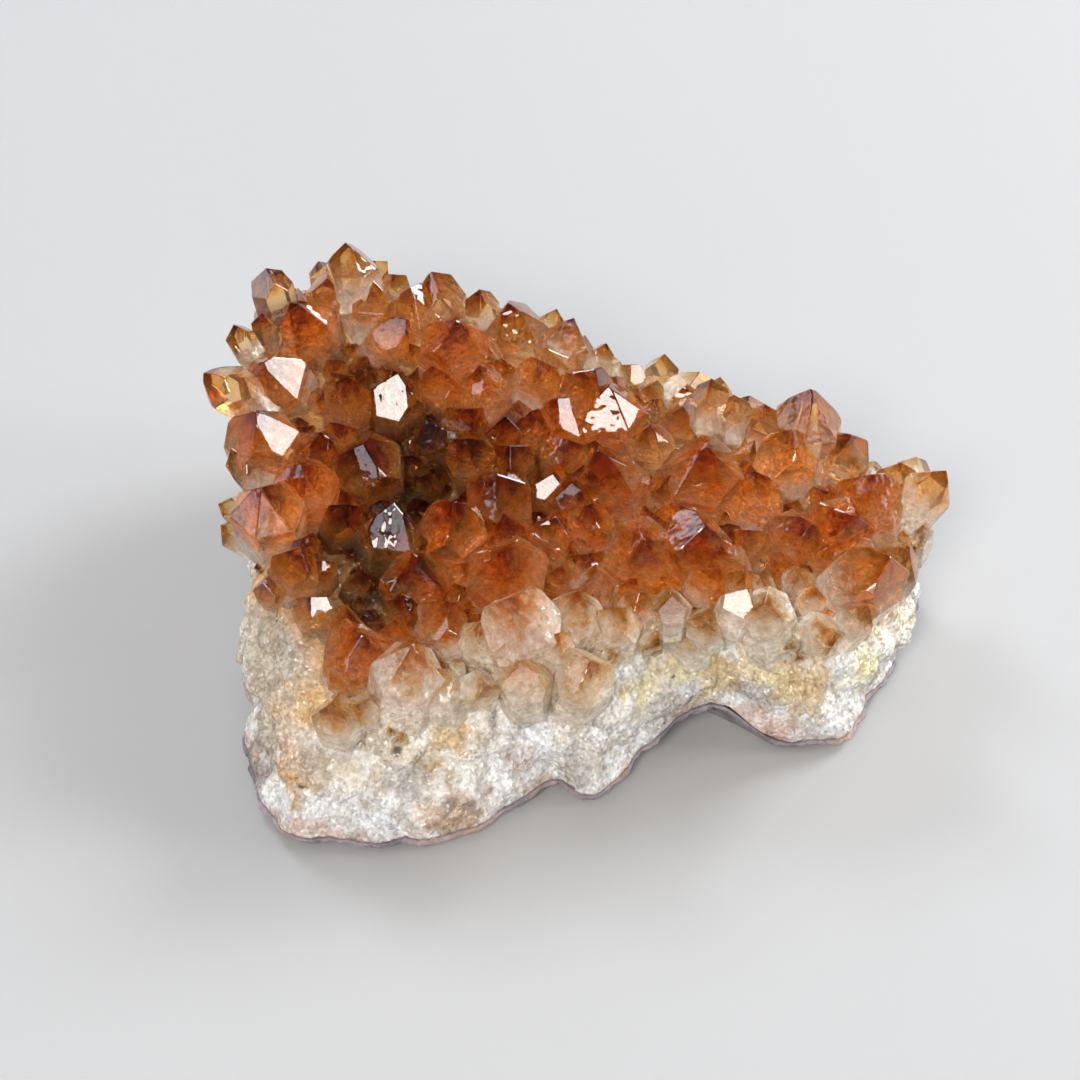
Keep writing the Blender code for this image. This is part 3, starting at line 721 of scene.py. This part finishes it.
PATCHES = (
    (634, 691, 4.0, YELLOW), (687, 661, 4.5, YELLOW), (770, 672, 3.5, YELLOW), (864, 668, 3.5, YELLOW),
    (721, 675, 4.5, HONEY), (806, 688, 5.0, HONEY), (765, 642, 3.5, PEACH), (841, 629, 4.5, PEACH),
    (669, 707, 4.0, GREY), (756, 697, 3.0, GREY), (579, 772, 3.5, GREY), (283, 650, 6.0, GREY),
    (623, 668, 3.5, WHITE), (614, 730, 5.0, WHITE), (848, 668, 3.0, WHITE), (520, 740, 4.0, WHITE),
    (330, 740, 4.0, WHITE), (390, 820, 6.0, WHITE), (258, 738, 3.0, BROWN), (281, 738, 3.0, PINK),
    (457, 815, 4.0, PINK), (424, 812, 2.5, PEACH), (770, 730, 3.5, PINK), (291, 772, 3.6, AMBER),
    (314, 708, 3.0, AMBER), (324, 621, 4.0, HONEY), (398, 751, 1.0, SOOT), (301, 786, 0.7, SOOT),
    (690, 700, 1.0, BROWN), (790, 655, 0.6, SOOT), (515, 712, 0.8, BROWN), (575, 708, 0.6, SOOT),
    (455, 822, 3.6, TAN), (482, 824, 3.6, TAN), (448, 805, 1.2, BROWN), (470, 806, 1.2, BROWN),
    (660, 366, 4.5, WHITE), (695, 368, 4.5, WHITE), (268, 690, 8.0, STONE), (262, 640, 6.5, STONE),
    (315, 760, 3.5, STONE), (350, 700, 3.0, HONEY), (410, 780, 3.5, GREY), (372, 740, 2.0, STONE),
    (330, 700, 3.5, HONEY), (262, 775, 3.0, BROWN), (450, 735, 3.5, HONEY),
)  # across, down, reach in mm and colour
LAYER_WANDER = 0.34  # how far the layers wander up and down
DARK_TONE = 0.04  # where the points' tone is below this, the bed between them is painted nearly black, as shade


def seen_place(across, down):
    """The place on the slab where the line of sight through a pixel meets it."""
    line = sight_line(across, down)
    return bed.ray_cast(EYE, line)[0] or bed.find_nearest(EYE + line * EYE_DISTANCE)[0]


def milky_colours(points, depth):
    """Colour of each point. The layers are linear interpolation over the depth, which smooth noise and each body's
    own number move up and down. A patch is mixed in by a bell curve of the distance, with a wavy edge."""
    wander = smooth_noise(points, 5 * MM, 61) - 0.5 + (smooth_noise(points, 2 * MM, 62) - 0.5) * 0.5
    _, own = columns(points)
    pale = tone_at(points)
    moved = depth + wander * LAYER_WANDER + (own - 0.5) * 0.22
    moved += np.where(depth > -0.3, np.maximum(pale - 0.3, 0) * 0.75 * (1 - np.abs(depth)), 0)
    places, heights = zip(*LAYERS)
    colours = np.stack([np.interp(moved, places, channel) for channel in zip(*heights)], 1)
    # Painted shade: where the points are darkest, the bed down between them is darkened nearly to black.
    hollow = np.clip(1 - (pale - DARK_TONE) / 0.25, 0, 1) * (depth < 0.1)
    colours *= 1 - 0.93 * hollow[:, None]
    edge = 1 + (smooth_noise(points, 1.5 * MM, 63) - 0.5) * 1.3
    for across, down, reach, colour in PATCHES:
        away = np.linalg.norm(points - np.array(seen_place(across, down)), axis=1) * edge / (reach * MM)
        share = np.exp(-(away**4))[:, None] * 0.85
        colours = colours * (1 - share) + np.array(colour) * share
    return colours


# %% Make the milky quartz
def milky_piece(name):
    """The milky quartz with its colours on its points."""
    grid, depth = milky_grid()
    piece = ring_piece(name, grid, BED_MIDDLE, (0, 0, BED_UNDERSIDE))
    points = np.concatenate([[BED_MIDDLE], grid.reshape(-1, 3), [(0, 0, BED_UNDERSIDE)]])
    colours = milky_colours(points, np.concatenate([[-1], depth, [1]]))
    layer = piece.data.color_attributes.new("layers", "FLOAT_COLOR", "POINT")
    layer.data.foreach_set("color", np.concatenate([colours, np.ones((len(points), 1))], 1).ravel())
    piece.data.shade_smooth()
    return piece


milky = milky_piece("milky_quartz")
print("milky_quartz", len(milky.data.polygons), "faces")

# %% [markdown]
# ## The rind
# The thin rock that the quartz grew on shows as a ragged line under the wall. It lies flat where it rests.

# %% Make the rind
GAP = 0.3 * MM
RIND_SHOWS = 1.5 * MM
REST_SHARE = 0.8


def rind_grid():
    """The rind from its top edge under the quartz, round its broken edge and in to the flat: a profile carried
    round the slab, made ragged by lumps."""
    lip = slab_rings(AROUND, (1.0,), (1.0,))[-1] - np.array((0, 0, GAP))
    outward = np.zeros_like(lip)
    outward[:, :2] = lip[:, :2] / np.linalg.norm(lip[:, :2], axis=1)[:, None]
    shows = RIND_SHOWS * (0.75 + 0.5 * lumps(lip, WALL_LUMP / 2, 9)[:, None])
    profile = np.linspace(0, 1, 14)[:, None, None]
    edge = lip + outward * 0.3 * shows * np.sin(np.pi * profile) - outward * 0.6 * shows * profile**2
    edge[..., 2] = np.maximum(lip[:, 2] - shows[:, 0] * profile[..., 0], 0.4 * MM)
    ragged = sugar(edge.reshape(-1, 3), 2.2 * MM, 31) * 0.5 + sugar(edge.reshape(-1, 3), 0.9 * MM, 32) * 0.25
    strength = np.sin(np.pi * profile) * RIND_SHOWS * 0.4
    edge = edge + outward * ragged.reshape(edge.shape[:2])[..., None] * strength
    rest = lip * REST_SHARE
    rest[:, 2] = 0
    inward = np.linspace(0.15, 1, 12)[:, None, None]
    return np.concatenate([edge, edge[-1] + (rest - edge[-1]) * inward])


rind = ring_piece("rind_rock", rind_grid(), (0, 0, BED_UNDERSIDE - GAP), (0, 0, 0))
print("rind_rock", len(rind.data.polygons), "faces")

# %% [markdown]
# ## Materials
# Amber quartz is clear, so its colour is in its body: light loses blue first and then green on its way through.
# That is plain absorption. On top of it the surface colour runs from red-brown at the tips to clear at the roots, and
# painted shade darkens it low down between the dark points.

# %% Material helpers
def new_material(name):
    """A material with its nodes, its links and its shader."""
    material = bpy.data.materials.new(name)
    material.use_nodes = True
    tree = material.node_tree
    return material, tree, tree.nodes["Principled BSDF"]


def node(tree, kind, **settings):
    """A node with its settings and the values of its inputs."""
    made = tree.nodes.new(kind)
    for key, value in settings.items():
        if key in made.inputs:
            made.inputs[key].default_value = value
        else:
            setattr(made, key, value)
    return made


def ramp(tree, source, stops, interpolation="LINEAR"):
    """A colour ramp fed by a socket, with stops of a place and a colour."""
    made = tree.nodes.new("ShaderNodeValToRGB")
    made.color_ramp.interpolation = interpolation
    elements = made.color_ramp.elements
    while len(elements) < len(stops):
        elements.new(0.5)
    for element, (place, colour) in zip(elements, stops):
        element.position = place
        element.color = (*colour, 1)
    tree.links.new(source, made.inputs["Fac"])
    return made.outputs["Color"]


def noise(tree, coordinates, size, detail=3.0, roughness=0.5):
    """A noise texture with features of about this size, from 0 to 1."""
    made = node(tree, "ShaderNodeTexNoise", Scale=1 / size, Detail=detail, Roughness=roughness)
    tree.links.new(coordinates, made.inputs["Vector"])
    return made.outputs["Fac"]


def mix(tree, factor, first, second, blend="MIX"):
    """Mixes two colours, each a socket or a plain colour."""
    made = tree.nodes.new("ShaderNodeMix")
    made.data_type = "RGBA"
    made.blend_type = blend
    for value, socket in ((factor, made.inputs[0]), (first, made.inputs[6]), (second, made.inputs[7])):
        if isinstance(value, bpy.types.NodeSocket):
            tree.links.new(value, socket)
        elif isinstance(value, tuple):
            socket.default_value = (*value, 1)
        else:
            socket.default_value = value
    return made.outputs[2]


def arithmetic(tree, operation, first, second=0.0):
    """One step of arithmetic on sockets or numbers."""
    made = tree.nodes.new("ShaderNodeMath")
    made.operation = operation
    for value, socket in zip((first, second), made.inputs):
        if isinstance(value, bpy.types.NodeSocket):
            tree.links.new(value, socket)
        else:
            socket.default_value = value
    return made.outputs[0]


def bump(tree, shader, height, distance, strength=1.0, normal=None):
    """Feeds a height into the shader's normal, on top of another normal if there is one."""
    made = node(tree, "ShaderNodeBump", Strength=strength, Distance=distance)
    tree.links.new(height, made.inputs["Height"])
    if normal:
        tree.links.new(normal, made.inputs["Normal"])
    tree.links.new(made.outputs["Normal"], shader.inputs["Normal"])


def vector_step(tree, operation, first, second=None):
    """One step of arithmetic on a vector. The second value is a vector or, to scale, a number, each plain or a
    socket."""
    made = tree.nodes.new("ShaderNodeVectorMath")
    made.operation = operation
    tree.links.new(first, made.inputs[0])
    socket = made.inputs["Scale"] if operation == "SCALE" else made.inputs[1]
    if isinstance(second, bpy.types.NodeSocket):
        tree.links.new(second, socket)
    elif second is not None:
        socket.default_value = second
    return made.outputs["Vector"]


# %% Sugar
def grain_cells(tree, place, size):
    """Three random numbers, as a colour, for each grain."""
    cells = node(tree, "ShaderNodeTexVoronoi", Scale=1 / size)
    tree.links.new(place, cells.inputs["Vector"])
    return cells.outputs["Color"]


def grain_normal(tree, grains, tilt):
    """The surface's normal, tilted by an amount of its own in each grain, so that the grains glitter."""
    slope = vector_step(tree, "SCALE", vector_step(tree, "SUBTRACT", grains, (0.5, 0.5, 0.5)), tilt)
    surface = tree.nodes.new("ShaderNodeNewGeometry").outputs["Normal"]
    return vector_step(tree, "NORMALIZE", vector_step(tree, "ADD", surface, slope))


def sugary(tree, place, grains, colour):
    """A colour broken up by clouds, finer clouds, and grains that are each a little lighter or darker: partly each
    grain's own tone and partly painted glints, the brightest grains lifted above the colour.
    """
    clouds = ramp(tree, noise(tree, place, 3.5 * MM, 3, 0.6), ((0.36, (0.70, 0.64, 0.56)), (0.56, (1.0, 1.0, 1.0))))
    fine = ramp(tree, noise(tree, place, 0.9 * MM, 3, 0.6), ((0.34, (0.68, 0.63, 0.57)), (0.56, (1.0, 1.0, 1.0))))
    # Grain tones with painted glints: the top of this ramp lifts some grains above their colour.
    grain_tone_and_glint = ramp(tree, grains, ((0.28, (0.80, 0.78, 0.76)), (0.5, (0.98, 0.98, 0.98)), (0.72, (1.12, 1.13, 1.14))))
    tint = mix(tree, 0.85, colour, mix(tree, 0.8, clouds, fine, "MULTIPLY"), "MULTIPLY")
    return mix(tree, 1.0, tint, grain_tone_and_glint, "MULTIPLY")


# %% Amber quartz
def amber_material():
    """Clear quartz with amber absorption, redder at the tips and pale at the roots, with painted shade that darkens the
    roots of the dark middle points.
    """
    material, tree, shader = new_material("amber_quartz")
    place = tree.nodes.new("ShaderNodeTexCoord").outputs["Object"]
    growth = tree.nodes.new("ShaderNodeVertexColor")
    growth.layer_name = "growth"
    parts = tree.nodes.new("ShaderNodeSeparateColor")
    tree.links.new(growth.outputs["Color"], parts.inputs["Color"])
    cloud = arithmetic(tree, "SUBTRACT", noise(tree, place, 1.5 * MM, 4, 0.62), 0.5)
    along = arithmetic(tree, "MULTIPLY", parts.outputs["Red"], 0.95)
    along = arithmetic(tree, "ADD", along, arithmetic(tree, "MULTIPLY", cloud, 0.6))
    along = arithmetic(tree, "ADD", along, arithmetic(tree, "MULTIPLY", parts.outputs["Green"], 0.42))
    along = arithmetic(tree, "ADD", along, arithmetic(tree, "MULTIPLY", parts.outputs["Blue"], 0.22))
    colour = ramp(tree, along, (
        (0.16, (0.06, 0.013, 0.012)), (0.34, (0.36, 0.085, 0.035)), (0.52, (0.93, 0.44, 0.08)),
        (0.70, (1.0, 0.76, 0.37)), (0.98, (1.0, 0.95, 0.85)),
    ))
    # Painted shade: low down on the dark middle points, where they stand between each other, the colour is darkened.
    deep = arithmetic(tree, "SUBTRACT", parts.outputs["Red"], arithmetic(tree, "MULTIPLY", parts.outputs["Green"], 0.9))
    colour = mix(tree, 1.0, colour, ramp(tree, deep, ((0.36, (1, 1, 1)), (0.78, (0.30, 0.16, 0.10)))), "MULTIPLY")
    milk = arithmetic(tree, "ADD", parts.outputs["Red"], arithmetic(tree, "MULTIPLY", parts.outputs["Green"], 1.2))
    milk = arithmetic(tree, "ADD", milk, arithmetic(tree, "MULTIPLY", cloud, 0.6))
    milk = arithmetic(tree, "MULTIPLY", arithmetic(tree, "SUBTRACT", milk, 1.15), 1.5)
    grains = grain_cells(tree, place, 0.45 * MM)
    cream = sugary(tree, place, grains, (1.0, 0.90, 0.74))
    colour = mix(tree, ramp(tree, milk, ((0.0, (0, 0, 0)), (0.9, (0.95, 0.95, 0.95)))), colour, cream)
    tree.links.new(colour, shader.inputs["Base Color"])
    tree.links.new(ramp(tree, milk, ((0.0, (0.93, 0.93, 0.93)), (0.9, (0.32, 0.32, 0.32)))),
                   shader.inputs["Transmission Weight"])
    shader.inputs["IOR"].default_value = 1.544
    dull = ramp(tree, noise(tree, place, 1.8 * MM, 2), ((0.5, (0.0, 0.0, 0.0)), (0.8, (0.05, 0.05, 0.05))))
    frost = ramp(tree, milk, ((0.0, (0.0, 0.0, 0.0)), (0.9, (0.28, 0.28, 0.28))))
    tree.links.new(arithmetic(tree, "MAXIMUM", dull, frost), shader.inputs["Roughness"])
    tilt = ramp(tree, milk, ((0.2, (0.0, 0.0, 0.0)), (0.9, (0.7, 0.7, 0.7))))
    bump(tree, shader, noise(tree, place, 1.8 * MM, 1), 0.12 * MM, 0.3, grain_normal(tree, grains, tilt))
    absorb = tree.nodes.new("ShaderNodeVolumeAbsorption")
    absorb.inputs["Color"].default_value = (0.97, 0.60, 0.18, 1)
    absorb.inputs["Density"].default_value = 110
    tree.links.new(absorb.outputs["Volume"], tree.nodes["Material Output"].inputs["Volume"])
    return material


citrine.data.materials.clear()
citrine.data.materials.append(amber_material())

# %% Milky quartz and rind
def milky_material():
    """Frosted translucent quartz in the colours of its layers, with fine grains that glitter, by their tilted normals
    and by painted glints in their colour, and dark specks.
    """
    material, tree, shader = new_material("milky_quartz")
    place = tree.nodes.new("ShaderNodeTexCoord").outputs["Object"]
    layers = tree.nodes.new("ShaderNodeVertexColor")
    layers.layer_name = "layers"
    grains = grain_cells(tree, place, 0.45 * MM)
    tint = sugary(tree, place, grains, layers.outputs["Color"])
    specks = ramp(tree, noise(tree, place, 1.3 * MM, 2), ((0.235, (1, 1, 1)), (0.27, (0, 0, 0))))
    tint = mix(tree, arithmetic(tree, "MULTIPLY", specks, 0.8), tint, (0.10, 0.06, 0.04))
    tree.links.new(tint, shader.inputs["Base Color"])
    shader.inputs["Roughness"].default_value = 0.2
    tree.links.new(grain_normal(tree, grains, 0.9), shader.inputs["Normal"])
    return material


def rind_material():
    """Dull host rock, lavender-grey with pinkish-brown patches."""
    material, tree, shader = new_material("rind_rock")
    place = tree.nodes.new("ShaderNodeTexCoord").outputs["Object"]
    base = ramp(tree, noise(tree, place, 7 * MM, 5), (
        (0.35, (0.20, 0.17, 0.19)), (0.5, (0.36, 0.31, 0.34)), (0.62, (0.50, 0.36, 0.30))))
    grit = ramp(tree, noise(tree, place, 0.8 * MM, 4), ((0.35, (0.7, 0.7, 0.7)), (0.7, (1.15, 1.1, 1.1))))
    tree.links.new(mix(tree, 1.0, base, grit, "MULTIPLY"), shader.inputs["Base Color"])
    shader.inputs["Roughness"].default_value = 0.85
    bump(tree, shader, noise(tree, place, 0.6 * MM, 5), 0.3 * MM, 0.8)
    return material


milky.data.materials.append(milky_material())
rind.data.materials.append(rind_material())

# %% [markdown]
# ## Where each piece belongs
# The points and the milky body stand for the frame's quartz solid, and the fine rind for its rind.

# %% Attach the pieces and hide the frame's solids
for piece, node_name, slot in (
    (citrine, "citrine_crystals", "citrine_quartz"),
    (milky, "citrine_crystals", "citrine_quartz"),
    (rind, "rock_rind", "rind_rock"),
):
    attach(piece, "root")
    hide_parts(node_name)

# %% [markdown]
# ## Floor and light
# A plain pale floor, a window's light from the right and behind, a weaker one from the front, and a dim room with
# some bright places all round. Flat clear faces only sparkle if what they mirror and bend is bright here, dark there.

# %% Floor and light
floor_mesh = bpy.data.meshes.new("floor")
floor_mesh.from_pydata([(-3, -3, 0), (3, -3, 0), (3, 3, 0), (-3, 3, 0)], [], [(0, 1, 2, 3)])
floor = bpy.data.objects.new("floor", floor_mesh)
bpy.context.scene.collection.objects.link(floor)
floor_material, floor_tree, floor_shader = new_material("floor")
floor_shader.inputs["Base Color"].default_value = (0.435, 0.432, 0.43, 1)
floor_shader.inputs["Roughness"].default_value = 0.7
floor_mesh.materials.append(floor_material)


def soft_light(name, place, size, power, colour):
    """A square light of this size, in metres, that faces the slab."""
    lamp = bpy.data.lights.new(name, "AREA")
    lamp.shape = "RECTANGLE"
    lamp.size, lamp.size_y = size
    lamp.energy = power
    lamp.color = colour
    light = bpy.data.objects.new(name, lamp)
    light.location = place
    light.rotation_euler = (AIM - Vector(place)).to_track_quat("-Z", "Y").to_euler()
    bpy.context.scene.collection.objects.link(light)


soft_light("window", (0.75, 0.55, 0.62), (0.42, 0.42), 11, (0.93, 0.97, 1.0))
soft_light("far_window", (-0.45, 0.75, 0.8), (0.34, 0.34), 5, (0.86, 0.93, 1.0))
soft_light("lamp", (-0.25, -0.8, 0.85), (0.4, 0.4), 9, (1.0, 0.96, 0.90))
soft_light("low_window", (1.0, 0.0, 0.4), (0.3, 0.3), 3.5, (1.0, 0.98, 0.96))
world = bpy.data.worlds.new("room")
world.use_nodes = True
around = world.node_tree.nodes.new("ShaderNodeTexCoord").outputs["Generated"]
daylight = ramp(world.node_tree, noise(world.node_tree, around, 0.26, 1.0), (
    (0.45, (0.03, 0.027, 0.025)), (0.53, (0.10, 0.10, 0.10)), (0.59, (0.26, 0.27, 0.29)), (0.62, (3.6, 3.7, 4.0))))
world.node_tree.links.new(daylight, world.node_tree.nodes["Background"].inputs["Color"])
bpy.context.scene.world = world
bpy.context.scene.view_settings.view_transform = "Standard"
bpy.context.scene.cycles.max_bounces = 9
bpy.context.scene.cycles.transmission_bounces = 8
bpy.context.scene.cycles.diffuse_bounces = 2
bpy.context.scene.cycles.glossy_bounces = 2
